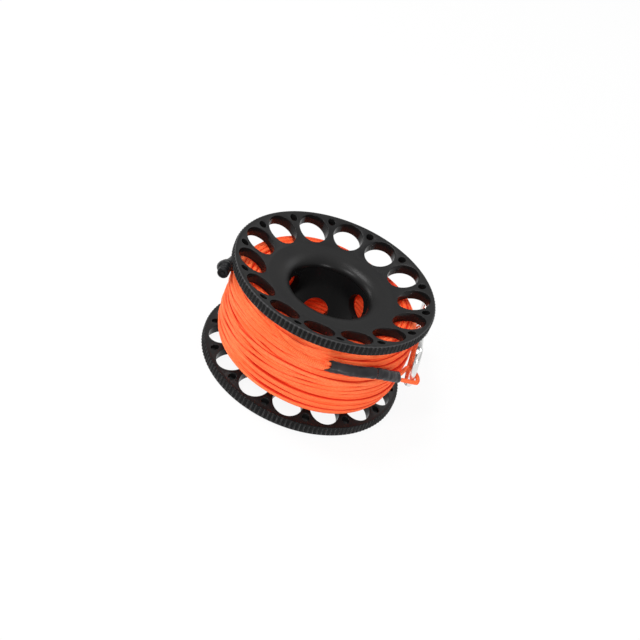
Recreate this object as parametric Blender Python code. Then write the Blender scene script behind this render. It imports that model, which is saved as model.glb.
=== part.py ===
"""A finger spool: dished flanges on a pierced hub tube, wound with line whose end loop holds a bolt snap."""
import math

import bmesh
import bpy
import numpy as np
from mathutils import Euler, Matrix, Vector

# Sizes are in metres and angles in degrees. The spool's axis is Z and its lower flange stands at z = 0.
CLEARANCE = 0.0003
CORE_CLEARANCE = 0.0004
CUT_OVERRUN = 0.002

# Hub tube
BORE_RADIUS = 0.0178
HUB_WALL = 0.0027
HUB_RADIUS = BORE_RADIUS + HUB_WALL
HUB_HOLE_RADIUS = 0.00575
HUB_HOLE_END_MARGIN = 0.0025
HUB_HOLE_COUNT = 6
HUB_HOLE_START_ANGLE = 50.0
HUB_HOLE_SIDES = 16
HUB_SEGMENTS = 48

# Flanges
FLANGE_RADIUS = 0.045
SPOOL_WIDTH = 0.0505
FLANGE_WALL = 0.0047
RIM_LAND_WIDTH = 0.0011
RIM_CHAMFER = 0.0006
RIM_LAND_OUTER = FLANGE_RADIUS - RIM_CHAMFER
RIM_LAND_INNER = RIM_LAND_OUTER - RIM_LAND_WIDTH
GROOVE_COUNT = 140
GROOVE_DEPTH = 0.00045
DISH_DEPTH = 0.0055
DISH_FLOOR_RADIUS = 0.028
DISH_SLOPE = DISH_DEPTH / (RIM_LAND_INNER - DISH_FLOOR_RADIUS)
LARGE_HOLE_COUNT = 14
LARGE_HOLE_SIDES = 16
LARGE_HOLE_FLOOR_MARGIN = 0.0013
LARGE_HOLE_RIM_MARGIN = 0.0006
LARGE_HOLE_BRIDGE = 0.0026
LARGE_HOLE_INNER_EDGE = DISH_FLOOR_RADIUS + LARGE_HOLE_FLOOR_MARGIN
LARGE_HOLE_OUTER_EDGE = RIM_LAND_INNER - LARGE_HOLE_RIM_MARGIN
LARGE_HOLE_PITCH_RADIUS = (LARGE_HOLE_INNER_EDGE + LARGE_HOLE_OUTER_EDGE) / 2
LARGE_HOLE_RADIUS = min(
    (LARGE_HOLE_OUTER_EDGE - LARGE_HOLE_INNER_EDGE) / 2,
    LARGE_HOLE_PITCH_RADIUS * math.sin(math.pi / LARGE_HOLE_COUNT) - LARGE_HOLE_BRIDGE / 2)
SMALL_HOLE_RADIUS = 0.0014
SMALL_HOLE_SIDES = 8
SMALL_HOLE_RIM_MARGIN = 0.0006
SMALL_HOLE_PITCH_RADIUS = RIM_LAND_INNER - SMALL_HOLE_RIM_MARGIN - SMALL_HOLE_RADIUS
BELL_SPREAD = 0.006
BELL_RADIUS = BORE_RADIUS + BELL_SPREAD
BELL_DEPTH = 0.0043
BELL_STEPS = 4
BOSS_WALL = 0.0025
BOSS_RADIUS = HUB_RADIUS + BOSS_WALL
BOSS_HEIGHT = 0.002
SOCKET_DEPTH = 0.0022

# Line: the outer layer of turns climbs a barrel-shaped core and leaves it as the tail
LINE_RADIUS = 0.00095
LINE_SQUEEZED_RADIUS = 0.00075
LINE_STEP = 0.0036
POINTS_PER_TURN = 24
TURN_MIDDLE_INSET = 0.0037
TURN_END_INSET = 0.0084
TURN_END_DROP = 0.00164
TURN_PITCH = 0.0023
TURN_MIDDLE_RADIUS = FLANGE_RADIUS - TURN_MIDDLE_INSET
TURN_END_RADIUS = FLANGE_RADIUS - TURN_END_INSET
WEB_FALL = DISH_SLOPE * (RIM_LAND_INNER - TURN_END_RADIUS)
TURN_HALF_WIDTH = SPOOL_WIDTH / 2 - FLANGE_WALL - WEB_FALL - TURN_END_DROP
TURN_COUNT = int(2 * TURN_HALF_WIDTH / TURN_PITCH)
BARREL_POWER = 4
BARREL_STEPS = 6
TURN_END_ANGLE = -120.0
LEAD_INSET = 0.00079
LEAD_HEIGHT = TURN_HALF_WIDTH - LEAD_INSET
LEAD_LIFTS = (0.0010, 0.0004, 0.0001)
LEAD_ROUTE = ((0, -0.00103), (0, 0.00087), (1.2, 0.0013), (3.6, 0.0014))
CORE_EDGE_RADIUS = TURN_END_RADIUS - 2 * LINE_RADIUS
ROUTE_SHARE = 0.05
GAP_SHARE = 0.25
CUT_END_LENGTH = 0.0016

# The tail's route after the last turn, and the middle of the doubled line. Each point is an angle,
# a distance in from the flange's edge and a drop from the upper flange's underside
TAIL_ROUTE = (
    (-113.5, 0.0069, 0.00133),
    (-107.0, 0.0049, 0.00255),
    (-99.0, 0.0028, 0.0046),
    (-89.0, 0.0014, 0.0068),
    (-78.0, 0.0006, 0.0079))
DOUBLED_ROUTE = (
    (-65.5, 0.0008, 0.0084),
    (-51.6, 0.0007, 0.0088),
    (-35.6, 0.0005, 0.0104),
    (-26.5, 0.0001, 0.0130),
    (-17.5, -0.0003, 0.0162))

# Heat-shrink sleeves, whose two strands lie at an angle to the spool's radius
SLEEVE_WALL = 0.0004
SLEEVE_SIDES = 12
SLEEVE_STEPS = 14
SLEEVE_LONG_STEPS = 8
STRAND_ANGLE = -45.0
STRAND_OFFSET = LINE_SQUEEZED_RADIUS + CLEARANCE / 2

# Bolt snap, in its own frame: x runs along the bolt from the hook to the eye, z points up the hook
SNAP_ANGLE = -3.7
SNAP_OUTSET = 0.0006
SNAP_DROP = 0.0084
SNAP_HEADING = 101.4
SNAP_PITCH = 14.0
SNAP_LEAN = -6.0
HOOK_ROD_RADIUS = 0.0019
HOOK_TIP = 0.006
HOOK_DROP = 0.015
HOOK_CORNER = 0.0042
HOOK_CORNER_STEPS = 4
HOOK_ROOT_ANGLE = 60.0
HOOK_ROOT_RUN = 0.006
HOOK_SIDES = 12
BORE_SIDES = 16
LOOP_DROP = 0.0103
LOOP_TILT = 0.0018
LOOP_STEPS = 6
LOOP_CLEARANCE = 0.00045
BARREL_START = 0.026
BARREL_LENGTH = 0.02
BARREL_RADIUS = 0.0031
BARREL_ROUNDING = 0.0007
BARREL_SIDES = 20
BORE_FRONT_RADIUS = 0.0019
BARREL_BACK_WALL = 0.0018
BOLT_RADIUS = BORE_FRONT_RADIUS - CLEARANCE
BOLT_TRAVEL = 0.0065
BOLT_TAIL = 0.0015
STUD_PLACE = 0.004
STUD_NECK_RADIUS = 0.0008
STUD_HEAD_RADIUS = 0.0021
STUD_HEAD_HEIGHT = 0.0015
STUD_RISE = 0.0005
STUD_ROOT_DEPTH = 0.0007
SPRING_WIRE_RADIUS = 0.0002
SPRING_TURNS = 7
SPRING_POINTS_PER_TURN = 8
SWIVEL_HOLE_RADIUS = 0.0013
SWIVEL_GAP = 0.0008
SWIVEL_HEAD_LENGTH = 0.0012
EYE_RING_RADIUS = 0.0062
EYE_WIRE_RADIUS = 0.0016
EYE_SEGMENTS = 22

# Black keeper cord under the upper flange, with a cap on its end
KEEPER_CORD_RADIUS = 0.0021
KEEPER_CAP_RADIUS = 0.0029
KEEPER_CAP_LENGTH = 0.0038
KEEPER_CAP_RECESS = 0.0006
KEEPER_CAP_RIM = 0.0007
KEEPER_CAP_SOCKET = 0.0018
KEEPER_CAP_SIDES = 20
KEEPER_CAP_ANGLE = -145.7
KEEPER_CAP_OUTSET = 0.003
KEEPER_CAP_DROP = 0.0033
KEEPER_CAP_HEADING = -80.0
KEEPER_ROUTE = (
    (-153.8, -0.0018, 0.0033),
    (-157.2, -0.0004, 0.0033),
    (-160.2, 0.0013, 0.0036),
    (-165.0, 0.0034, 0.00419),
    (-172.5, 0.0038, 0.00434))
KEEPER_STEP = 0.0036
KEEPER_BEND_START = 0.0014

# Colour, roughness and metallic value of each material
LOOKS = {
    "black_anodised": ((0.018, 0.018, 0.02, 1.0), 0.38, 0.0),
    "orange_line": ((0.93, 0.13, 0.03, 1.0), 0.62, 0.0),
    "black_sleeve": ((0.02, 0.02, 0.022, 1.0), 0.55, 0.0),
    "stainless": ((0.62, 0.62, 0.61, 1.0), 0.16, 1.0),
    "black_rubber": ((0.022, 0.022, 0.024, 1.0), 0.6, 0.0),
}


def on_spool(angle, radius, height):
    """A point at an angle round the spool, a distance from its axis and a height above its foot."""
    turn = math.radians(angle)
    return Vector((radius * math.cos(turn), radius * math.sin(turn), height))


def dish_height(radius):
    """Height of the dished outer face over the spool's middle plane."""
    return SPOOL_WIDTH / 2 - min(max(DISH_SLOPE * (RIM_LAND_INNER - radius), 0), DISH_DEPTH)


def under_web(angle, inset, drop):
    """A point at an angle, in from the flange's edge and down from the upper flange's underside."""
    radius = FLANGE_RADIUS - inset
    return on_spool(angle, radius, SPOOL_WIDTH / 2 + dish_height(radius) - FLANGE_WALL - drop)


def turn_radius(height):
    """Distance of the outer turns' centre from the axis at a height over the middle plane."""
    share = abs(height) / TURN_HALF_WIDTH
    return TURN_MIDDLE_RADIUS - (TURN_MIDDLE_RADIUS - TURN_END_RADIUS) * share ** BARREL_POWER


def material(name):
    """A Principled material made from the looks table."""
    if name in bpy.data.materials:
        return bpy.data.materials[name]
    colour, roughness, metallic = LOOKS[name]
    made = bpy.data.materials.new(name)
    made.use_nodes = True
    shader = made.node_tree.nodes["Principled BSDF"]
    shader.inputs["Base Color"].default_value = colour
    shader.inputs["Roughness"].default_value = roughness
    shader.inputs["Metallic"].default_value = metallic
    made.diffuse_color = colour
    return made


def add_object(name, data, look, parent=None):
    """Links an object to the scene with its material."""
    made = bpy.data.objects.new(name, data)
    bpy.context.scene.collection.objects.link(made)
    data.materials.append(material(look))
    made.parent = parent
    return made


def mesh_from(name, bm):
    """A mesh whose faces point out, smooth where its faces meet at less than 35 degrees."""
    bmesh.ops.recalc_face_normals(bm, faces=bm.faces)
    mesh = bpy.data.meshes.new(name)
    bm.to_mesh(mesh)
    bm.free()
    mesh.shade_smooth()
    mesh.set_sharp_from_angle(angle=math.radians(35))
    return mesh


def ring(bm, radius, count, height, centre=(0, 0), valley=None):
    """A ring of points; with a valley radius every second point lies in a groove."""
    points = []
    for k in range(count):
        turn = math.tau * k / count
        reach = valley if valley is not None and k % 2 else radius
        across = centre[0] + reach * math.cos(turn)
        points.append(bm.verts.new((across, centre[1] + reach * math.sin(turn), height)))
    return points


def bridge(bm, first, second):
    """Faces between two rings, the second with as many points as the first or twice as many."""
    count = len(first)
    for k in range(count):
        near, far = first[k], first[(k + 1) % count]
        if len(second) == count:
            bm.faces.new((near, far, second[(k + 1) % count], second[k]))
        else:
            middle = second[2 * k + 1]
            bm.faces.new((near, middle, second[2 * k]))
            bm.faces.new((near, far, middle))
            bm.faces.new((far, second[(2 * k + 2) % len(second)], middle))


def bridge_all(bm, rings):
    """Faces between each ring and the next, whichever of the two has more points."""
    for first, second in zip(rings, rings[1:]):
        if len(first) > len(second):
            first, second = second, first
        bridge(bm, first, second)


def pierced_sheet(bm, offset):
    """A dished sheet between the rim land and the dish's floor, with every hole left open in it."""
    rim = ring(bm, RIM_LAND_INNER, GROOVE_COUNT, 0)
    floor = ring(bm, DISH_FLOOR_RADIUS, HUB_SEGMENTS, 0)
    holes = []
    for k in range(LARGE_HOLE_COUNT):
        turn = math.tau * k / LARGE_HOLE_COUNT
        half = math.pi / LARGE_HOLE_COUNT
        large = LARGE_HOLE_PITCH_RADIUS * Vector((math.cos(turn), math.sin(turn)))
        small = SMALL_HOLE_PITCH_RADIUS * Vector((math.cos(turn + half), math.sin(turn + half)))
        holes.append(ring(bm, LARGE_HOLE_RADIUS, LARGE_HOLE_SIDES, 0, large))
        holes.append(ring(bm, SMALL_HOLE_RADIUS, SMALL_HOLE_SIDES, 0, small))
    edges = []
    for points in [rim, floor] + holes:
        for near, far in zip(points, points[1:] + points[:1]):
            edges.append(bm.edges.new((near, far)))
    bmesh.ops.triangle_fill(bm, use_beauty=True, edges=edges, normal=(0, 0, 1))
    for points in [rim, floor] + holes:
        for point in points:
            point.co.z = dish_height(point.co.xy.length) + offset
    return rim, floor, holes


def flange_mesh():
    """The upper flange about the middle plane: rim, dished web with its holes, bell mouth, boss and socket."""
    bm = bmesh.new()
    top_rim, top_floor, top_holes = pierced_sheet(bm, 0)
    low_rim, low_floor, low_holes = pierced_sheet(bm, -FLANGE_WALL)
    for top, low in zip(top_holes, low_holes):
        bridge(bm, top, low)
    face = SPOOL_WIDTH / 2
    back = face - FLANGE_WALL
    valley = FLANGE_RADIUS - GROOVE_DEPTH
    bridge_all(bm, [
        top_rim,
        ring(bm, RIM_LAND_OUTER, GROOVE_COUNT, face),
        ring(bm, FLANGE_RADIUS, 2 * GROOVE_COUNT, face - RIM_CHAMFER, valley=valley),
        ring(bm, FLANGE_RADIUS, 2 * GROOVE_COUNT, back + RIM_CHAMFER, valley=valley),
        ring(bm, RIM_LAND_OUTER, GROOVE_COUNT, back),
        low_rim])
    floor = dish_height(DISH_FLOOR_RADIUS)
    hub = [top_floor]
    for k in range(BELL_STEPS + 1):
        turn = math.pi / 2 * k / BELL_STEPS
        reach = BELL_RADIUS - (BELL_RADIUS - BORE_RADIUS) * math.sin(turn)
        hub.append(ring(bm, reach, HUB_SEGMENTS, floor - BELL_DEPTH * (1 - math.cos(turn))))
    boss_end = floor - FLANGE_WALL - BOSS_HEIGHT
    socket = HUB_RADIUS + CLEARANCE
    hub += [
        ring(bm, BORE_RADIUS, HUB_SEGMENTS, boss_end + SOCKET_DEPTH),
        ring(bm, socket, HUB_SEGMENTS, boss_end + SOCKET_DEPTH),
        ring(bm, socket, HUB_SEGMENTS, boss_end),
        ring(bm, BOSS_RADIUS, HUB_SEGMENTS, boss_end),
        ring(bm, BOSS_RADIUS, HUB_SEGMENTS, floor - FLANGE_WALL),
        low_floor]
    bridge_all(bm, hub)
    return mesh_from("flange", bm)


def turned(name, outline, count):
    """A closed ring turned about Z from an outline of (radius, height) points that doesn't touch the axis."""
    bm = bmesh.new()
    rings = [ring(bm, radius, count, height) for radius, height in outline]
    bridge_all(bm, rings + rings[:1])
    return mesh_from(name, bm)


def turned_rod(name, outline, count, axis="Z"):
    """A solid rod turned from an outline of (radius, height) points, with flat ends on its axis."""
    bm = bmesh.new()
    rings = [ring(bm, radius, count, height) for radius, height in outline]
    bridge_all(bm, rings)
    bm.faces.new(rings[0])
    bm.faces.new(rings[-1])
    if axis == "X":
        bmesh.ops.rotate(bm, verts=bm.verts, matrix=Matrix.Rotation(math.pi / 2, 3, "Y"))
    return mesh_from(name, bm)


def cut(body, name, mesh):
    """Cuts a hidden cutter out of a body with a Boolean modifier."""
    cutter = bpy.data.objects.new(name, mesh)
    bpy.context.scene.collection.objects.link(cutter)
    cutter.parent = body
    cutter.hide_render = True
    cutter.display_type = "WIRE"
    modifier = body.modifiers.new(name, "BOOLEAN")
    modifier.object = cutter
    return cutter


def join(body, name, mesh):
    """Joins a hidden solid to a body with a Boolean modifier."""
    added = cut(body, name, mesh)
    body.modifiers[name].operation = "UNION"
    return added


def tube(name, points, radius, look, resolution, radii=None, parent=None):
    """A round tube along a polyline, with filled caps."""
    curve = bpy.data.curves.new(name, "CURVE")
    curve.dimensions = "3D"
    curve.bevel_depth = radius
    curve.bevel_resolution = resolution
    curve.use_fill_caps = True
    spline = curve.splines.new("POLY")
    spline.points.add(len(points) - 1)
    for k, point in enumerate(points):
        spline.points[k].co = (*point, 1)
        spline.points[k].radius = radii[k] / radius if radii else 1
    return add_object(name, curve, look, parent)


def smooth_route(points, step):
    """Points at even steps along a smooth curve through a route's points."""
    points = [Vector(point) for point in points]
    padded = [2 * points[0] - points[1]] + points + [2 * points[-1] - points[-2]]
    fine = []
    for before, near, far, after in zip(padded, padded[1:], padded[2:], padded[3:]):
        for share in np.arange(0, 1, ROUTE_SHARE):
            bend = 2 * before - 5 * near + 4 * far - after
            curl = 3 * near - before - 3 * far + after
            fine.append((2 * near + (far - before) * share + bend * share ** 2 + curl * share ** 3) / 2)
    fine.append(points[-1])
    lengths = np.cumsum([0] + [(far - near).length for near, far in zip(fine, fine[1:])])
    count = max(round(lengths[-1] / step), 2)
    places = np.linspace(0, lengths[-1], count + 1)
    axes = [np.interp(places, lengths, [point[axis] for point in fine]) for axis in range(3)]
    return [Vector(point) for point in zip(*axes)]


def swept(name, points, radius, count, plane_normal):
    """A round rod swept along a flat path, with flat ends."""
    bm = bmesh.new()
    rings = []
    for k, point in enumerate(points):
        run = (points[min(k + 1, len(points) - 1)] - points[max(k - 1, 0)]).normalized()
        side = run.cross(plane_normal)
        rings.append([bm.verts.new(point + radius * (math.cos(math.tau * j / count) * plane_normal
                                                     + math.sin(math.tau * j / count) * side))
                      for j in range(count)])
    bridge_all(bm, rings)
    bm.faces.new(rings[0])
    bm.faces.new(rings[-1])
    return mesh_from(name, bm)


def arc(centre, radius, start, end, steps):
    """Points on an arc in the XZ plane, by angle from +X towards +Z."""
    middle = Vector((centre[0], 0, centre[1]))
    turns = [math.radians(start + (end - start) * k / steps) for k in range(steps + 1)]
    return [middle + radius * Vector((math.cos(turn), 0, math.sin(turn))) for turn in turns]


def least_gap(points, skip):
    """Least free gap of a tube to itself, between points at least skip steps apart along it."""
    path = np.array([tuple(point) for point in points])
    shares = np.arange(0, 1, GAP_SHARE)
    fine = np.concatenate([path[:-1] + (path[1:] - path[:-1]) * share for share in shares])
    order = np.concatenate([np.arange(len(path) - 1) + share for share in shares])
    nearest = math.inf
    for point, place in zip(fine, order):
        others = fine[np.abs(order - place) >= skip]
        nearest = min(nearest, np.linalg.norm(others - point, axis=1).min())
    return nearest - 2 * LINE_RADIUS


def lane_point(angle, height, lift):
    """A point at an angle round the barrel, lifted square off the turns' straight-sided lane at a height."""
    fall = (TURN_MIDDLE_RADIUS - TURN_END_RADIUS) * BARREL_POWER / TURN_HALF_WIDTH
    slope = math.copysign(fall * abs(height / TURN_HALF_WIDTH) ** (BARREL_POWER - 1), height)
    share = lift / math.hypot(1, slope)
    half = 180 / POINTS_PER_TURN
    offset = (angle - TURN_END_ANGLE) % (2 * half) - half
    flat = math.cos(math.radians(half)) / math.cos(math.radians(offset))
    return on_spool(angle, (turn_radius(height) + share) * flat, SPOOL_WIDTH / 2 + height + share * slope)


def turn_points():
    """The outer turns from a foot square on the core up to the tail, evenly spaced along the barrel."""
    heights = np.linspace(-LEAD_HEIGHT, TURN_HALF_WIDTH, 400)
    radii = np.array([turn_radius(height) for height in heights])
    lengths = np.concatenate([[0], np.cumsum(np.hypot(np.diff(heights), np.diff(radii)))])
    count = TURN_COUNT * POINTS_PER_TURN
    places = np.interp(np.linspace(0, lengths[-1], count + 1), lengths, heights)
    start = TURN_END_ANGLE - 360 * TURN_COUNT
    foot = start - 180 / POINTS_PER_TURN
    points = [lane_point(foot + along, -LEAD_HEIGHT, lift) for along, lift in LEAD_ROUTE]
    for k, height in enumerate(places):
        lift = LEAD_LIFTS[k] if k < len(LEAD_LIFTS) else 0
        points.append(lane_point(start + 360 * k / POINTS_PER_TURN, height, lift))
    return points


def core_outline():
    """Outline of the wound line under its outer layer, clear of hub, bosses, flanges and turns."""
    floor = dish_height(DISH_FLOOR_RADIUS) - FLANGE_WALL - CORE_CLEARANCE
    sag = math.cos(math.pi / POINTS_PER_TURN)
    boss = (BOSS_RADIUS + CORE_CLEARANCE) / sag
    edge_height = dish_height(CORE_EDGE_RADIUS) - FLANGE_WALL - CORE_CLEARANCE
    upper = [
        ((HUB_RADIUS + CORE_CLEARANCE) / sag, floor - BOSS_HEIGHT),
        (boss, floor - BOSS_HEIGHT),
        (boss, floor),
        (min(DISH_FLOOR_RADIUS, CORE_EDGE_RADIUS - LINE_RADIUS), floor),
        (CORE_EDGE_RADIUS, edge_height)]
    depth = LINE_RADIUS + CORE_CLEARANCE
    for k in range(BARREL_STEPS):
        height = TURN_HALF_WIDTH * math.cos(math.pi / 2 * k / BARREL_STEPS)
        fall = (TURN_MIDDLE_RADIUS - TURN_END_RADIUS) * BARREL_POWER / TURN_HALF_WIDTH
        slope = fall * (height / TURN_HALF_WIDTH) ** (BARREL_POWER - 1)
        along = math.hypot(1, slope)
        upper.append((turn_radius(height) - depth / along, height - depth * slope / along))
    lower = [(radius, -height) for radius, height in reversed(upper)]
    return upper + [(TURN_MIDDLE_RADIUS - depth, 0)] + lower


def doubled_frames():
    """Middle, run and strand direction at even steps along the doubled line."""
    route = [under_web(*place) for place in DOUBLED_ROUTE]
    length = sum((far - near).length for near, far in zip(route, route[1:]))
    middles = smooth_route(route, length / SLEEVE_STEPS)
    frames = []
    for k, middle in enumerate(middles):
        run = (middles[min(k + 1, len(middles) - 1)] - middles[max(k - 1, 0)]).normalized()
        out = Vector((middle.x, middle.y, 0)).normalized()
        out = (out - run * out.dot(run)).normalized()
        up = out.cross(run)
        turn = math.radians(STRAND_ANGLE)
        frames.append((middle, run, (math.cos(turn) * out + math.sin(turn) * up).normalized()))
    return frames


def sleeve_mesh(name, frames):
    """A flattened tube round both strands, with a clear bore."""
    bm = bmesh.new()
    outer = []
    inner = []
    for middle, run, across in frames:
        side = run.cross(across)
        for rings, radius in ((outer, LINE_SQUEEZED_RADIUS + CLEARANCE + SLEEVE_WALL),
                              (inner, LINE_SQUEEZED_RADIUS + CLEARANCE)):
            points = []
            for k in range(SLEEVE_SIDES):
                turn = math.tau * (k + 0.5) / SLEEVE_SIDES
                reach = radius * math.cos(turn) + math.copysign(STRAND_OFFSET, math.cos(turn))
                points.append(bm.verts.new(middle + reach * across + radius * math.sin(turn) * side))
            rings.append(points)
    rings = outer + inner[::-1]
    bridge_all(bm, rings + rings[:1])
    return mesh_from(name, bm)


def tail_points(turns, frames, rod, rod_run):
    """The line from the last turn through the sleeves, round the hook's rod and back to its cut end."""
    run = (turns[-1] - turns[-2]).normalized()
    start = turns[-1] + CLEARANCE * run
    route = [start, start + 2 * LINE_RADIUS * run] + [under_web(*place) for place in TAIL_ROUTE]
    first, first_run, across = frames[0]
    entry = first + STRAND_OFFSET * across
    route += [entry - CUT_END_LENGTH * first_run, entry]
    points = [start] + smooth_route(route[1:], LINE_STEP)
    radii = [LINE_RADIUS] * (len(points) - 1) + [LINE_SQUEEZED_RADIUS]
    points += [middle + STRAND_OFFSET * across for middle, along, across in frames[1:]]
    radii += [LINE_SQUEEZED_RADIUS] * (len(frames) - 1)
    last, last_run, across = frames[-1]
    mouth = last + CUT_END_LENGTH / 2 * last_run
    points.append(mouth + STRAND_OFFSET * across)
    radii.append(LINE_SQUEEZED_RADIUS)
    reach = (rod - last).normalized()
    reach = (reach - rod_run * reach.dot(rod_run)).normalized()
    side = reach.cross(rod_run)
    if side.dot(across) < 0:
        side.negate()
    bow = HOOK_ROD_RADIUS + LINE_RADIUS + LOOP_CLEARANCE
    for k in range(LOOP_STEPS + 1):
        turn = math.pi / 2 - math.pi * k / LOOP_STEPS
        level = -LOOP_TILT * math.sin(turn) * rod_run
        points.append(rod + bow * (math.cos(turn) * reach + math.sin(turn) * side) + level)
        radii.append(LINE_RADIUS)
    points.append(mouth - STRAND_OFFSET * across)
    radii.append(LINE_SQUEEZED_RADIUS)
    for middle, along, across in frames[::-1]:
        points.append(middle - STRAND_OFFSET * across)
        radii.append(LINE_SQUEEZED_RADIUS)
    points.append(first - STRAND_OFFSET * frames[0][2] - CUT_END_LENGTH * first_run)
    radii.append(LINE_RADIUS)
    return points, radii


def build_spool():
    """Two flanges from one mesh and the hub tube with its two staggered rows of holes."""
    middle = SPOOL_WIDTH / 2
    mesh = flange_mesh()
    upper = add_object("flange_upper", mesh, "black_anodised")
    upper.location.z = middle
    lower = add_object("flange_lower", mesh, "black_anodised")
    lower.location.z = middle
    lower.rotation_euler.x = math.pi
    half = dish_height(DISH_FLOOR_RADIUS) - FLANGE_WALL - BOSS_HEIGHT + SOCKET_DEPTH - CLEARANCE
    outline = [(BORE_RADIUS, -half), (HUB_RADIUS, -half), (HUB_RADIUS, half), (BORE_RADIUS, half)]
    hub = add_object("hub_tube", turned("hub_tube", outline, HUB_SEGMENTS), "black_anodised")
    hub.location.z = middle
    drill = turned_rod("hub_drill", [(HUB_HOLE_RADIUS, BORE_RADIUS - CUT_OVERRUN),
                                     (HUB_HOLE_RADIUS, HUB_RADIUS + CUT_OVERRUN)], HUB_HOLE_SIDES, "X")
    offset = half - HUB_HOLE_END_MARGIN - HUB_HOLE_RADIUS
    for k in range(HUB_HOLE_COUNT):
        turn = math.radians(HUB_HOLE_START_ANGLE + 360 * k / HUB_HOLE_COUNT)
        cutter = cut(hub, f"hub_drill_{k + 1}", drill)
        cutter.rotation_euler.z = turn
        cutter.location.z = offset * (1 - 2 * (k % 2))


def build_line(rod, rod_run):
    """The wound core, its outer turns, the doubled tail and the two sleeves on it."""
    core = add_object("line_core", turned("line_core", core_outline(), POINTS_PER_TURN), "orange_line")
    core.location.z = SPOOL_WIDTH / 2
    turns = turn_points()
    tube("line_outer_turns", turns, LINE_RADIUS, "orange_line", 1)
    print(f"least gap between turns {least_gap(turns, POINTS_PER_TURN / 2) * 1000:.2f} mm")
    frames = doubled_frames()
    points, radii = tail_points(turns, frames, rod, rod_run)
    tube("line_tail", points, LINE_RADIUS, "orange_line", 2, radii)
    long_end = frames[SLEEVE_LONG_STEPS]
    short_start = (long_end[0] + CLEARANCE * long_end[1], long_end[1], long_end[2])
    add_object("sleeve_long", sleeve_mesh("sleeve_long", frames[:SLEEVE_LONG_STEPS + 1]), "black_sleeve")
    add_object("sleeve_short", sleeve_mesh("sleeve_short", [short_start] + frames[SLEEVE_LONG_STEPS + 1:]),
               "black_sleeve")


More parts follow.
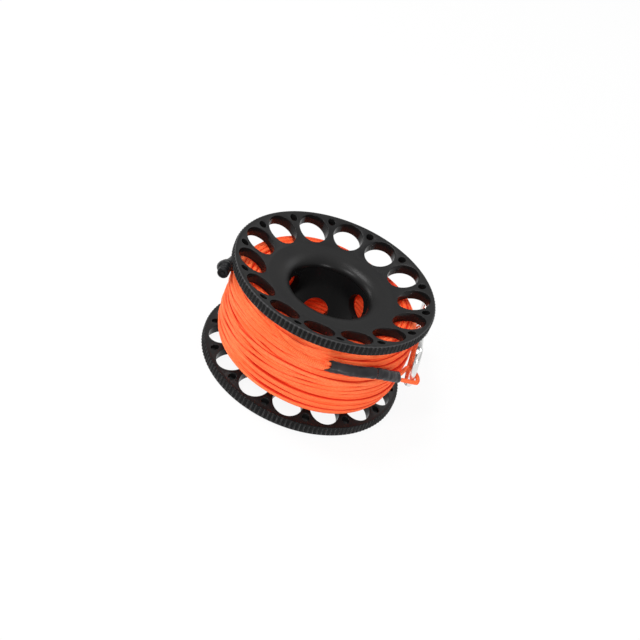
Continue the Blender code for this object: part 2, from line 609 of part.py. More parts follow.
def build_snap():
    """The bolt snap on an empty that swings about the hook's rod where the line's loop holds it."""
    turn = Euler([math.radians(angle) for angle in (SNAP_LEAN, SNAP_PITCH, SNAP_HEADING)]).to_matrix()
    origin = under_web(SNAP_ANGLE, -SNAP_OUTSET, SNAP_DROP)
    rod = origin - LOOP_DROP * turn.col[2]
    swing = bpy.data.objects.new("snap_swing", None)
    bpy.context.scene.collection.objects.link(swing)
    swing.matrix_world = Matrix.Translation(rod) @ turn.to_4x4()
    lift = Vector((0, 0, LOOP_DROP))
    barrel_end = BARREL_START + BARREL_LENGTH
    bore_end = barrel_end - BARREL_BACK_WALL
    stud_place = BARREL_START + STUD_PLACE

    outline = [
        (BARREL_RADIUS - BARREL_ROUNDING, BARREL_START),
        (BARREL_RADIUS, BARREL_START + BARREL_ROUNDING),
        (BARREL_RADIUS, barrel_end - BARREL_ROUNDING),
        (BARREL_RADIUS - BARREL_ROUNDING, barrel_end)]
    body = add_object("snap_body", turned_rod("snap_body", outline, BARREL_SIDES, "X"), "stainless", swing)
    body.location = lift
    corner = HOOK_CORNER
    root = BARREL_START - HOOK_ROOT_RUN
    root_end = Vector((BARREL_START + HOOK_ROD_RADIUS, 0, -HOOK_ROD_RADIUS / 2))
    path = [Vector((HOOK_TIP, 0, 0))]
    path += arc((corner, -corner), corner, 90, 180, HOOK_CORNER_STEPS)
    path += arc((corner, corner - HOOK_DROP), corner, 180, 270, HOOK_CORNER_STEPS)
    path += arc((root - corner, corner - HOOK_DROP), corner, 270, 270 + HOOK_ROOT_ANGLE, HOOK_CORNER_STEPS)
    path += [root_end]
    join(body, "snap_hook", swept("snap_hook", path, HOOK_ROD_RADIUS, HOOK_SIDES, Vector((0, 1, 0))))
    cut(body, "bolt_bore", turned_rod("bolt_bore", [
        (BORE_FRONT_RADIUS, BARREL_START - CUT_OVERRUN), (BORE_FRONT_RADIUS, bore_end)], BORE_SIDES, "X"))
    cut(body, "swivel_hole", turned_rod("swivel_hole", [
        (SWIVEL_HOLE_RADIUS, bore_end - CLEARANCE), (SWIVEL_HOLE_RADIUS, barrel_end + CUT_OVERRUN)],
        HOOK_SIDES, "X"))
    slot_half = STUD_NECK_RADIUS + CLEARANCE
    slot = bmesh.new()
    bmesh.ops.create_cube(slot, size=1)
    slot_length = BOLT_TRAVEL + 2 * slot_half
    bmesh.ops.scale(slot, vec=(slot_length, 2 * slot_half, BARREL_RADIUS + CUT_OVERRUN), verts=slot.verts)
    slot_middle = (stud_place + BOLT_TRAVEL / 2, 0, (BARREL_RADIUS + CUT_OVERRUN) / 2)
    bmesh.ops.translate(slot, vec=slot_middle, verts=slot.verts)
    cut(body, "stud_slot", mesh_from("stud_slot", slot))

    bolt_front = HOOK_TIP + CLEARANCE
    bolt_outline = [(BOLT_RADIUS, bolt_front - stud_place), (BOLT_RADIUS, BOLT_TAIL)]
    bolt = add_object("snap_bolt", turned_rod("snap_bolt", bolt_outline, HOOK_SIDES, "X"), "stainless", swing)
    bolt.location = lift + Vector((stud_place, 0, 0))
    root_hole = [(slot_half, BOLT_RADIUS - STUD_ROOT_DEPTH - CLEARANCE), (slot_half, BARREL_RADIUS)]
    cut(bolt, "stud_hole", turned_rod("stud_hole", root_hole, HOOK_SIDES))
    neck_top = BARREL_RADIUS + STUD_RISE
    stud_outline = [
        (STUD_NECK_RADIUS, BOLT_RADIUS - STUD_ROOT_DEPTH),
        (STUD_NECK_RADIUS, neck_top),
        (STUD_HEAD_RADIUS, neck_top),
        (STUD_HEAD_RADIUS, neck_top + STUD_HEAD_HEIGHT / 2),
        (STUD_HEAD_RADIUS - STUD_HEAD_HEIGHT / 2, neck_top + STUD_HEAD_HEIGHT)]
    stud = add_object("snap_stud", turned_rod("snap_stud", stud_outline, HOOK_SIDES), "stainless", swing)
    stud.location = bolt.location

    neck = SWIVEL_HOLE_RADIUS - CLEARANCE
    head = BORE_FRONT_RADIUS - CLEARANCE
    head_end = -BARREL_BACK_WALL - CLEARANCE
    eye_middle = SWIVEL_GAP + EYE_WIRE_RADIUS + EYE_RING_RADIUS
    shank = [(head, head_end - SWIVEL_HEAD_LENGTH), (head, head_end), (neck, head_end),
             (neck, eye_middle - EYE_RING_RADIUS)]
    eye = add_object("snap_eye", turned_rod("snap_eye", shank, HOOK_SIDES, "X"), "stainless", swing)
    eye.location = lift + Vector((barrel_end, 0, 0))
    wire = [(EYE_RING_RADIUS + EYE_WIRE_RADIUS * math.cos(math.tau * k / HOOK_SIDES),
             EYE_WIRE_RADIUS * math.sin(math.tau * k / HOOK_SIDES)) for k in range(HOOK_SIDES)]
    eye_ring = join(eye, "snap_eye_ring", turned("snap_eye_ring", wire, EYE_SEGMENTS))
    eye_ring.location.x = eye_middle
    eye_ring.rotation_euler.x = math.pi / 2

    spring_start = stud_place + BOLT_TAIL + CLEARANCE + SPRING_WIRE_RADIUS
    spring_end = barrel_end + head_end - SWIVEL_HEAD_LENGTH - CLEARANCE - SPRING_WIRE_RADIUS
    coil = BORE_FRONT_RADIUS - CLEARANCE - SPRING_WIRE_RADIUS
    count = SPRING_TURNS * SPRING_POINTS_PER_TURN
    points = []
    for k in range(count + 1):
        turn_share = math.tau * k / SPRING_POINTS_PER_TURN
        points.append(Vector((spring_start + (spring_end - spring_start) * k / count,
                              coil * math.cos(turn_share), coil * math.sin(turn_share))))
    spring = tube("snap_spring", points, SPRING_WIRE_RADIUS, "stainless", 0, parent=swing)
    spring.location = lift
    return rod, turn.col[2]


def build_keeper():
    """The black keeper cord in the shoulder under the upper flange, and the cap on its end."""
    outline = [
        (KEEPER_CORD_RADIUS + CLEARANCE, KEEPER_CAP_SOCKET),
        (KEEPER_CORD_RADIUS + CLEARANCE, 0),
        (KEEPER_CAP_RADIUS - KEEPER_CAP_RECESS / 2, 0),
        (KEEPER_CAP_RADIUS, KEEPER_CAP_RECESS),
        (KEEPER_CAP_RADIUS, KEEPER_CAP_LENGTH - KEEPER_CAP_RECESS / 2),
        (KEEPER_CAP_RADIUS - KEEPER_CAP_RECESS / 2, KEEPER_CAP_LENGTH),
        (KEEPER_CAP_RADIUS - KEEPER_CAP_RIM, KEEPER_CAP_LENGTH),
        (KEEPER_CAP_RADIUS - KEEPER_CAP_RIM, KEEPER_CAP_LENGTH - KEEPER_CAP_RECESS)]
    mesh = turned_rod("keeper_cap", outline, KEEPER_CAP_SIDES, "X")
    cap = add_object("keeper_cap", mesh, "black_rubber")
    turn = Matrix.Rotation(math.radians(KEEPER_CAP_HEADING), 3, "Z")
    face = under_web(KEEPER_CAP_ANGLE, -KEEPER_CAP_OUTSET, KEEPER_CAP_DROP)
    back = face - KEEPER_CAP_LENGTH * turn.col[0]
    cap.matrix_world = Matrix.Translation(back) @ turn.to_4x4()
    start = back + (KEEPER_CAP_SOCKET - CLEARANCE) * turn.col[0]
    mouth = back - KEEPER_BEND_START * turn.col[0]
    route = smooth_route([mouth] + [under_web(*place) for place in KEEPER_ROUTE], KEEPER_STEP)
    tube("keeper_cord", [start] + route, KEEPER_CORD_RADIUS, "black_rubber", 2)


def main():
    for old in list(bpy.data.objects):
        bpy.data.objects.remove(old)
    build_spool()
    rod, rod_run = build_snap()
    build_line(rod, rod_run)
    build_keeper()


main()
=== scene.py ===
import math
import random

import bmesh
import bpy
import numpy as np
from mathutils import Euler, Matrix, Vector


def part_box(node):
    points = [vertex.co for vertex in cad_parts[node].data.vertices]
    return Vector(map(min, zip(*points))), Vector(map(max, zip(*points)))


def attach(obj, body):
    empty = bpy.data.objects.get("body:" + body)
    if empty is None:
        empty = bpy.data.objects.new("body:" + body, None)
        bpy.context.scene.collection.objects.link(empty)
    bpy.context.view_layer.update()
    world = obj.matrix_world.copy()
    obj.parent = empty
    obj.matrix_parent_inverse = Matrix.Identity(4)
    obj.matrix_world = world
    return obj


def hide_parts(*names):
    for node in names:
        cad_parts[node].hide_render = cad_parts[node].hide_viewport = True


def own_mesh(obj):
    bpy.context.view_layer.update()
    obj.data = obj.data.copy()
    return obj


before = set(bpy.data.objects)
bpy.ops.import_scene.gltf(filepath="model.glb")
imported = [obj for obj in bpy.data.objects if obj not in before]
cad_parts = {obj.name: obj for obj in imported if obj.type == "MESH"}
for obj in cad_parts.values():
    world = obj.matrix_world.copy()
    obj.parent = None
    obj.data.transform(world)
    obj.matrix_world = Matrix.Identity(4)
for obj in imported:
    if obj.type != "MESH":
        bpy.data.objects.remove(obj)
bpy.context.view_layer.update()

mm = 0.001  # sizes are in millimetres unless a note says metres
spoolWidth = (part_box("flange_upper")[1].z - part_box("flange_lower")[0].z) / mm
spoolMiddle = spoolWidth / 2
print("frame loaded, spool", round(spoolWidth, 2), "mm wide")


def addObject(name, data):
    made = bpy.data.objects.new(name, data)
    bpy.context.scene.collection.objects.link(made)
    return made


# Camera: a rolled view down on the spool from its front

camera = {
    "height": 35.455,  # degrees above the floor
    "roll": 23.137,
    "turn": 9.634,  # degrees about the spool's axis
    "distance": 627.49,
    "focal": 1456.6,  # in pixels of the image
    "image": 640,
    "shift": (-1.108, -0.308),
    "sensor": 36,
    "clip": (0.01, 20),  # metres
}


def placeCamera():
    rise, roll = math.radians(camera["height"]), math.radians(camera["roll"])
    back = Vector((0, -math.cos(rise), math.sin(rise)))
    flatUp = Vector((0, math.sin(rise), math.cos(rise)))
    right = math.cos(roll) * Vector((1, 0, 0)) + math.sin(roll) * flatUp
    up = -math.sin(roll) * Vector((1, 0, 0)) + math.cos(roll) * flatUp
    across, over = camera["shift"]
    pose = Matrix((right, up, back)).transposed().to_4x4()
    pose.translation = (back * camera["distance"] - across * right - over * up) * mm
    lens = bpy.data.cameras.new("photoCamera")
    lens.sensor_width = camera["sensor"]
    lens.lens = camera["sensor"] * camera["focal"] / camera["image"]
    lens.clip_start, lens.clip_end = camera["clip"]
    holder = addObject("photoCamera", lens)
    turn = Matrix.Rotation(math.radians(camera["turn"]), 4, "Z")
    holder.matrix_world = Matrix.Translation((0, 0, spoolMiddle * mm)) @ turn @ pose
    bpy.context.scene.camera = holder


placeCamera()
print("camera placed")

# Shader nodes


class Wire:
    # a node's output that takes part in sums
    def __init__(self, nodes, socket):
        self.nodes, self.socket = nodes, socket

    def sum(self, operation, *values):
        return self.nodes.node("ShaderNodeMath", {"operation": operation}, dict(enumerate(values)))

    def __add__(self, other):
        return self.sum("ADD", self, other)

    def __sub__(self, other):
        return self.sum("SUBTRACT", self, other)

    def __rsub__(self, other):
        return self.sum("SUBTRACT", other, self)

    def __mul__(self, other):
        return self.sum("MULTIPLY", self, other)

    def __truediv__(self, other):
        return self.sum("DIVIDE", self, other)

    def __pow__(self, other):
        return self.sum("POWER", self, other)

    __radd__ = __add__

    def sine(self):
        return self.sum("SINE", self)


class Nodes:
    # the nodes of a material or of the world
    def __init__(self, tree):
        self.tree = tree

    def node(self, kind, settings=None, inputs=None, output=0):
        made = self.tree.nodes.new(kind)
        for name, value in (settings or {}).items():
            if name == "stops":
                stops = made.color_ramp.elements
                stops[0].position, stops[0].color = value[0]
                stops[-1].position, stops[-1].color = value[-1]
                for place, colour in value[1:-1]:
                    stops.new(place).color = colour
            else:
                setattr(made, name, value)
        for socket, value in (inputs or {}).items():
            if isinstance(value, Wire):
                self.tree.links.new(value.socket, made.inputs[socket])
            else:
                made.inputs[socket].default_value = value
        return Wire(self, made.outputs[output])

    def place(self, kind="Object"):
        return self.node("ShaderNodeTexCoord", output=kind)

    def parts(self, vector):
        split = self.node("ShaderNodeSeparateXYZ", inputs={0: vector}).socket.node
        return [Wire(self, socket) for socket in split.outputs]

    def noise(self, vector, scale, detail=3, roughness=0.55):
        return self.node("ShaderNodeTexNoise", inputs={
            "Vector": vector, "Scale": scale, "Detail": detail, "Roughness": roughness})

    def ramp(self, value, stops):
        return self.node("ShaderNodeValToRGB", {"stops": stops}, {0: value})

    def spread(self, value, fromLow, fromHigh, toLow, toHigh):
        return self.node("ShaderNodeMapRange", inputs={
            0: value, 1: fromLow, 2: fromHigh, 3: toLow, 4: toHigh})

    def blendColours(self, share, first, second, way="MIX"):
        return self.node("ShaderNodeMix", {"data_type": "RGBA", "blend_type": way}, {
            0: share, 6: first, 7: second}, output=2)

    def blendShaders(self, share, first, second):
        return self.node("ShaderNodeMixShader", inputs={0: share, 1: first, 2: second})

    def ray(self, kind):
        return self.node("ShaderNodeLightPath", output=kind)

    def surface(self, wire, output):
        self.tree.links.new(wire.socket, self.tree.nodes[output].inputs["Surface"])


class Paint(Nodes):
    # a material and the nodes that make its finish
    def __init__(self, name, constants):
        self.material = bpy.data.materials.new(name)
        self.material.use_nodes = True
        super().__init__(self.material.node_tree)
        self.shader = self.tree.nodes["Principled BSDF"]
        for socket, value in constants.items():
            self.shader.inputs[socket].default_value = value

    def feed(self, socket, wire):
        self.tree.links.new(wire.socket, self.shader.inputs[socket])

    def relief(self, height, distance, strength=1.0):
        self.feed("Normal", self.node("ShaderNodeBump", inputs={
            "Height": height, "Distance": distance, "Strength": strength}))


def grey(level):
    return (level, level, level, 1)


# Black anodised aluminium: satin with faint turning rings, paler on the groove crests, with painted shade in
# the groove valleys and a painted highlight along the outer lip

anodised = {
    "deep": (0.0070, 0.0070, 0.0074, 1),
    "dusty": (0.0100, 0.0097, 0.0095, 1),
    # the grey of real wear on the crests, also used for the painted lip highlight
    "wearAndLipHighlight": (0.048, 0.048, 0.049, 1),
    # the painted shade of the groove valleys
    "grooveShade": (0.0016, 0.0016, 0.0018, 1),
    "crest": (0.04465, 0.04500),  # metres from the axis, as the next two are
    "valley": ((0.04405, 0.04425), (0.04450, 0.04480)),
    "lipHighlight": (0.04415, 0.04435),
    "lipHeight": (0.0246, 0.0250),  # metres from the spool's middle
    "roughness": (0.33, 0.45),
    "machined": 0.22,  # how much smoother walls, bore and grooves are
    "specular": 0.15,
    # a less reflective copy for the hub tube: painted shade for the bore
    "boreShadeSpecular": 0.06,
}


def anodisedPaint(name, specular):
    paint = Paint(name, {"Specular IOR Level": specular})
    place = paint.place()
    x, y, z = paint.parts(place)
    radius = (x * x + y * y) ** 0.5
    cloud = paint.noise(place, 70, 4)
    blast = paint.noise(place, 5200, 2)
    rings = paint.noise(paint.node("ShaderNodeCombineXYZ", inputs={0: radius, 2: z}), 2600, 1)
    crest = paint.spread(radius, *anodised["crest"], 0, 1)
    wear = crest * paint.spread(paint.noise(place, 420), 0.42, 0.68, 0.15, 1)
    tint = paint.blendColours(paint.spread(cloud, 0.3, 0.7, 0, 1), anodised["deep"], anodised["dusty"])
    # painted shade: darker down in the groove valleys
    start, end = anodised["valley"]
    valley = paint.spread(radius, *start, 0, 1) * paint.spread(radius, *end, 1, 0)
    tint = paint.blendColours(valley * 0.9, tint, anodised["grooveShade"])
    rise = z - spoolMiddle * mm
    face = (rise * rise) ** 0.5
    # painted highlight: a pale line along the outer lip of each flange face
    lipHighlight = paint.spread(radius, *anodised["lipHighlight"], 0, 1)
    lipHighlight = lipHighlight * paint.spread(face, *anodised["lipHeight"], 0, 0.9)
    paint.feed("Base Color", paint.blendColours(wear * 0.8 + lipHighlight * (1 - wear), tint, anodised["wearAndLipHighlight"]))
    facing = paint.parts(paint.place("Normal"))[2]
    wall = 1 - (facing * facing) ** 0.5
    satin = paint.spread(cloud * 0.6 + rings * 0.25 + blast * 0.15, 0.35, 0.65, *anodised["roughness"])
    paint.feed("Roughness", satin - wall * anodised["machined"] - wear * 0.06)
    paint.relief(blast * 0.6 + rings * 0.4, 0.000012)
    return paint.material


# Braided polyester line: a fine diamond weave along the piece's own UV map, in metres

braid = {
    "yarn": 0.0011,  # metres along the line in one diamond
    "around": 6,  # diamonds round the line
    "girth": 0.00597,  # metres round the line
    "bright": (0.97, 0.150, 0.033, 1),
    "deep": (0.80, 0.030, 0.004, 1),
    "faded": (0.98, 0.27, 0.095, 1),
    # the painted shade between strands
    "gap": (0.55, 0.009, 0.0015, 1),
    "gapFacing": (0.42, 0.84),  # how far a strand faces outwards, at the gap and on top
    "windingHalf": 0.0165,  # metres
    "sideShade": (1, 0.85, 0.8, 1),
    "innerShade": (0.80, 0.45, 0.35, 1),
    "glow": 0.13,  # a painted red glow that lifts the line where it lies in shade
}


def braidPaint(name, shade=(1, 1, 1, 1), shadeGaps=False):
    # the emission is a painted glow
    paint = Paint(name, {
        "Specular IOR Level": 0.2, "Sheen Weight": 0.08, "Sheen Roughness": 0.6,
        "Sheen Tint": (1.0, 0.45, 0.25, 1), "Emission Color": (1.0, 0.03, 0.004, 1),
        "Emission Strength": braid["glow"]})
    along, around, _ = paint.parts(paint.place("UV"))
    turn = along * (math.tau / braid["yarn"])
    lean = around * (math.tau * braid["around"] / braid["girth"])
    weave = (turn + lean).sine() * (turn - lean).sine() * 0.5 + 0.5
    place = paint.place()
    fuzz = paint.noise(place, 3800, 3, 0.7)
    patch = paint.noise(place, 55)
    run = paint.noise(paint.node("ShaderNodeCombineXYZ", inputs={0: along * 14}), 1, 3, 0.6)
    fade = paint.spread(patch * 0.3 + run * 0.7, 0.38, 0.62, 0, 1)
    tone = paint.blendColours(fade, braid["bright"], braid["faded"])
    mottle = paint.noise(place, 1100, 2)
    # painted shade in the weave's valleys, with random mottle and fuzz
    deep = paint.spread(weave * 0.45 + fuzz * 0.2 + mottle * 0.35, 0.28, 0.56, 0.78, 0)
    colour = paint.blendColours(deep, tone, braid["deep"])
    if shadeGaps:
        # painted shade: each strand is darker at its sides, where it meets the next one
        x, y, z = paint.parts(place)
        out = (x * x + y * y) ** 0.5
        lift = (z - spoolMiddle * mm) / braid["windingHalf"]
        lift = lift * lift * lift * lift * lift
        nx, ny, nz = paint.parts(paint.place("Normal"))
        facing = ((nx * x + ny * y) / out + nz * lift) / (1 + lift * lift) ** 0.5
        colour = paint.blendColours(paint.spread(facing, *braid["gapFacing"], 0.95, 0), colour, braid["gap"])
    paint.feed("Base Color", paint.blendColours(1.0, colour, shade, "MULTIPLY"))
    paint.feed("Roughness", paint.spread(fuzz, 0.3, 0.7, 0.62, 0.85))
    paint.relief(weave * 0.7 + fuzz * 0.3, 0.00010, 0.7)
    return paint.material


# Heat-shrink tube, polished steel and moulded rubber: broad and fine unevenness on one colour

sleeveFinish = {
    "constants": {"Specular IOR Level": 0.32},
    "broad": (260, 3),  # noise scale and detail
    "fine": (1900, 3),
    "colours": [(0.3, (0.009, 0.008, 0.010, 1)), (0.75, (0.022, 0.020, 0.023, 1))],
    "roughness": (0.28, 0.46),
    "fineShares": (0.5, 0.2),  # in the roughness and in the relief
    "relief": 0.00020,  # metres
}
steelFinish = {
    "constants": {"Metallic": 1.0},
    "broad": (180, 3),
    "fine": (4200, 2),
    "stretch": (1.0, 0.16, 1.0),  # of the fine scratches
    "colours": [(0.3, (0.70, 0.70, 0.69, 1)), (0.7, (0.84, 0.84, 0.83, 1))],
    "roughness": (0.14, 0.32),
    "fineShares": (0.5, 1),
    "relief": 0.000006,
}
rubberFinish = {
    "constants": {"Specular IOR Level": 0.16},
    "broad": (240, 2),
    "fine": (2600, 3),
    "colours": [(0.3, (0.003, 0.003, 0.004, 1)), (0.7, (0.007, 0.007, 0.008, 1))],
    "roughness": (0.36, 0.55),
    "fineShares": (0.4, 0.6),
    "relief": 0.00006,
}


def plainPaint(name, finish):
    paint = Paint(name, finish["constants"])
    place = paint.place()
    broad = paint.noise(place, *finish["broad"])
    if "stretch" in finish:
        place = paint.node("ShaderNodeMapping", inputs={0: place, 3: finish["stretch"]})
    fine = paint.noise(place, *finish["fine"])
    paint.feed("Base Color", paint.ramp(broad, finish["colours"]))
    rough, raised = [fine * share + broad * (1 - share) for share in finish["fineShares"]]
    paint.feed("Roughness", paint.spread(rough, 0.3, 0.7, *finish["roughness"]))
    paint.relief(raised, finish["relief"])
    return paint.material


blackMetal = anodisedPaint("blackAnodised", anodised["specular"])
# the bore's copy is darker as painted shade
shadedBoreMetal = anodisedPaint("blackAnodisedBoreShaded", anodised["boreShadeSpecular"])
orangeLine = braidPaint("orangeLine")
woundLine = braidPaint("orangeLineWound", shadeGaps=True)
sideLine = braidPaint("orangeLineSide", braid["sideShade"])
innerLine = braidPaint("orangeLineInner", braid["innerShade"])
blackSleeve = plainPaint("blackSleeve", sleeveFinish)
steel = plainPaint("stainlessSteel", steelFinish)
blackRubber = plainPaint("blackRubber", rubberFinish)
print("materials made")

# Shape helpers

merge = 0.0005  # points nearer than this are one
alongX = Matrix.Rotation(math.pi / 2, 4, "Y")


def onSpool(angle, radius, height):
    turn = math.radians(angle)
    return Vector((radius * math.cos(turn), radius * math.sin(turn), height))


def addPiece(name, mesh, paint, nodes, body="spool"):
    # a piece that moves with its CAD body and stands for its CAD nodes
    piece = addObject(name, mesh)
    mesh.materials.clear()
    mesh.materials.append(paint)
    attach(piece, body)
    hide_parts(*nodes)
    return piece


def smoothMesh(mesh, sharp):
    mesh.shade_smooth()
    mesh.set_sharp_from_angle(angle=math.radians(sharp))
    return mesh


def finishMesh(name, bm, sharp=35):
    # doubles merged, faces turned out, in metres, smooth below the sharp angle
    bmesh.ops.remove_doubles(bm, verts=bm.verts, dist=merge)
    bmesh.ops.recalc_face_normals(bm, faces=bm.faces)
    bmesh.ops.scale(bm, vec=(mm,) * 3, verts=bm.verts)
    mesh = bpy.data.meshes.new(name)
    bm.to_mesh(mesh)
    bm.free()
    return smoothMesh(mesh, sharp)


def appliedMesh(holder):
    return bpy.data.meshes.new_from_object(holder.evaluated_get(bpy.context.evaluated_depsgraph_get()))


def growEdges(bm, edges):
    # the new points and open edges of an extruded loop
    grown = bmesh.ops.extrude_edge_only(bm, edges=edges)["geom"]
    points = [item for item in grown if isinstance(item, bmesh.types.BMVert)]
    return points, [item for item in grown if isinstance(item, bmesh.types.BMEdge) and item.is_boundary]


def growLoop(bm, edges, move):
    # the new loop, with each point where move() puts it
    points, edges = growEdges(bm, edges)
    for point in points:
        point.co = move(point.co)
    return edges


def circleEdges(bm, segments, radius, centre=(0, 0, 0)):
    points = bmesh.ops.create_circle(
        bm, segments=segments, radius=radius, matrix=Matrix.Translation(centre))["verts"]
    return list({edge for point in points for edge in point.link_edges})


def toRadius(centre, radius, height):
    # sends a point out from a centre to a radius, at a height
    middle = Vector((*centre[:2], 0))

    def move(point):
        out = Vector((point.x, point.y, 0)) - middle
        return middle + out.normalized() * radius + Vector((0, 0, height))
    return move


def quarter(start, end, steps, outFirst=True):
    # points of a quarter round from one (radius, height) to another
    (r0, h0), (r1, h1) = start, end
    points = []
    for k in range(steps + 1):
        turn = math.pi / 2 * k / steps
        along, down = math.sin(turn), 1 - math.cos(turn)
        if not outFirst:
            along, down = down, along
        points.append((r0 + (r1 - r0) * along, h0 + (h1 - h0) * down))
    return points


def spun(name, outline, steps, sharp=40, place=None, closed=True):
    # a solid turned about Z from (radius, height) points
    bm = bmesh.new()
    points = [bm.verts.new((radius, 0, height)) for radius, height in outline]
    pairs = list(zip(points, points[1:])) + ([(points[-1], points[0])] if closed else [])
    edges = [bm.edges.new(pair) for pair in pairs]
    bmesh.ops.spin(bm, geom=points + edges, axis=(0, 0, 1), cent=(0, 0, 0), steps=steps,
                   angle=math.tau, use_merge=True)
    bmesh.ops.remove_doubles(bm, verts=bm.verts, dist=merge)
    bmesh.ops.dissolve_degenerate(bm, edges=bm.edges, dist=merge)
    bmesh.ops.recalc_face_normals(bm, faces=bm.faces)
    if place is not None:
        bmesh.ops.transform(bm, matrix=place, verts=bm.verts)
    return finishMesh(name, bm, sharp)


def withCuts(name, mesh, tools, sharp=35):
    # a mesh with others joined to it or cut out of it
    helpers = [addObject(name, mesh)]
    for operation, tool in tools:
        helpers.append(addObject(name, tool))
        boolean = helpers[0].modifiers.new("boolean", "BOOLEAN")
        boolean.operation, boolean.object, boolean.solver = operation, helpers[-1], "EXACT"
    done = appliedMesh(helpers[0])
    for helper in helpers:
        bpy.data.objects.remove(helper)
    return smoothMesh(done, sharp)


def legs(points):
    return [(far - near).length for near, far in zip(points, points[1:])]


def alongRoute(points, step):
    # points at even steps along a smooth curve through a route
    points = [Vector(point) for point in points]
    padded = [2 * points[0] - points[1]] + points + [2 * points[-1] - points[-2]]
    fine = []
    for before, near, far, after in zip(padded, padded[1:], padded[2:], padded[3:]):
        for share in np.arange(0, 1, 0.05):
            bend, curl = 2 * before - 5 * near + 4 * far - after, 3 * near - before - 3 * far + after
            fine.append((2 * near + (far - before) * share + bend * share ** 2 + curl * share ** 3) / 2)
    fine.append(points[-1])
    lengths = np.cumsum([0] + legs(fine))
    places = np.linspace(0, lengths[-1], max(round(lengths[-1] / step), 2) + 1)
    axes = [np.interp(places, lengths, [point[axis] for point in fine]) for axis in range(3)]
    return [Vector(point) for point in zip(*axes)]


def strandMesh(name, points, section, radii=None, sides=10, twist="MINIMUM", square=1):
    # an oval section along the points, with a UV map in metres
    oval = bpy.data.curves.new(name + "Section", "CURVE")
    rim = oval.splines.new("POLY")
    rim.points.add(sides - 1)
    for k in range(sides):
        turn = math.tau * k / sides
        across, up = [math.copysign(abs(part) ** square, part)
                      for part in (math.cos(turn), math.sin(turn))]
        rim.points[k].co = (section[0] * across, section[1] * up, 0, 1)
    rim.use_cyclic_u = True
    ovalHolder = addObject(name + "Section", oval)
    curve = bpy.data.curves.new(name, "CURVE")
    curve.dimensions, curve.twist_mode = "3D", twist
    curve.bevel_mode, curve.bevel_object = "OBJECT", ovalHolder
    curve.use_fill_caps = True
    line = curve.splines.new("POLY")
    line.points.add(len(points) - 1)
    for k, point in enumerate(points):
        line.points[k].co = (*point, 1)
        line.points[k].radius = radii[k] if radii else 1
    holder = addObject(name, curve)
    mesh = appliedMesh(holder)
    uv = np.zeros(len(mesh.loops) * 2, np.float32)
    mesh.uv_layers[0].data.foreach_get("uv", uv)
    uv = uv.reshape(-1, 2) * (sum(legs(points)) * mm, braid["girth"])
    mesh.uv_layers[0].data.foreach_set("uv", uv.astype(np.float32).ravel())
    bm = bmesh.new()
    bm.from_mesh(mesh)
    bpy.data.meshes.remove(mesh)
    for made in (holder, ovalHolder):
        bpy.data.objects.remove(made)
    return finishMesh(name, bm, 60)


# Cords first: the line's free end, doubled back round the hook in two sleeves

tail = {
    "radius": 0.95,
    "squeezed": 0.75,  # radius inside the sleeves
    "start": (-18.061, -31.877, 41.754),  # where it leaves the last turn
    "route": ((-113.5, 38.1, 42.6), (-107, 40.1, 42.1), (-99, 42.2, 40.8), (-89, 43.6, 39.0),
              (-78, 44.4, 37.9)),
    "doubled": ((-65.5, 44.2, 37.4), (-51.6, 44.3, 37.0), (-35.6, 44.5, 35.4), (-26.5, 44.9, 32.8),
                (-17.5, 45.3, 29.6)),
    "apart": 0.9,  # each strand from the middle of the sleeve
    "strandAngle": -45,
    "cutEnd": 1.6,
    "bow": 3.3,  # bend radius round the hook's rod
    "tilt": 1.8,
    "steps": 28,
    "routeStep": 2.0,
    "loopStep": 0.9,
}
snapFrame = {
    "rod": (47.050, -5.159, 27.461),  # where the loop holds the hook
    "turn": (-6, 14, 101.4),
    "drop": 10.3,
}
snapTurn = Euler([math.radians(angle) for angle in snapFrame["turn"]]).to_matrix()
rodPoint = Vector(snapFrame["rod"])
rodRun = snapTurn.col[2]


def doubledFrames(steps):
    # middle, run and strand direction at even steps along the doubled line
    route = [onSpool(*place) for place in tail["doubled"]]
    middles = alongRoute(route, sum(legs(route)) / steps)
    turn = math.radians(tail["strandAngle"])
    frames = []
    for k, middle in enumerate(middles):
        run = (middles[min(k + 1, len(middles) - 1)] - middles[max(k - 1, 0)]).normalized()
        out = Vector((middle.x, middle.y, 0)).normalized()
        out = (out - run * out.dot(run)).normalized()
        frames.append((middle, run, (math.cos(turn) * out + math.sin(turn) * out.cross(run)).normalized()))
    return frames


def makeTail():
    frames = doubledFrames(tail["steps"])
    apart, squeezed, full = tail["apart"], tail["squeezed"] / tail["radius"], 1
    first, firstRun, across = frames[0]
    entry = first + apart * across
    route = [Vector(tail["start"])] + [onSpool(*place) for place in tail["route"]]
    points = alongRoute(route + [entry - tail["cutEnd"] * firstRun, entry], tail["routeStep"])
    radii = [full] * (len(points) - 1) + [squeezed]
    points += [middle + apart * side for middle, run, side in frames[1:]]
    radii += [squeezed] * (len(frames) - 1)
    last, lastRun, across = frames[-1]
    reach = rodPoint - last
    reach = (reach - rodRun * reach.dot(rodRun)).normalized()
    side = reach.cross(rodRun)
    if side.dot(across) < 0:
        side.negate()
    bow = []
    for k in range(13):
        turn = math.pi / 2 - math.pi * k / 12
        level = -tail["tilt"] * math.sin(turn) * rodRun
        bow.append(rodPoint + tail["bow"] * (math.cos(turn) * reach + math.sin(turn) * side) + level)
    mouth = last + tail["cutEnd"] / 2 * lastRun
    loop = alongRoute([mouth + apart * across] + bow + [mouth - apart * across], tail["loopStep"])
    points += loop
    radii += [full if 1 < k < len(loop) - 2 else squeezed for k in range(len(loop))]
    points += [middle - apart * side for middle, run, side in frames[::-1]]
    radii += [squeezed] * len(frames)
    points.append(first - apart * frames[0][2] - tail["cutEnd"] * firstRun)
    radii.append(full)
    mesh = strandMesh("lineTail", points, (tail["radius"],) * 2, radii, sides=12)
    return addPiece("lineTail", mesh, orangeLine, ["line_tail"]), points


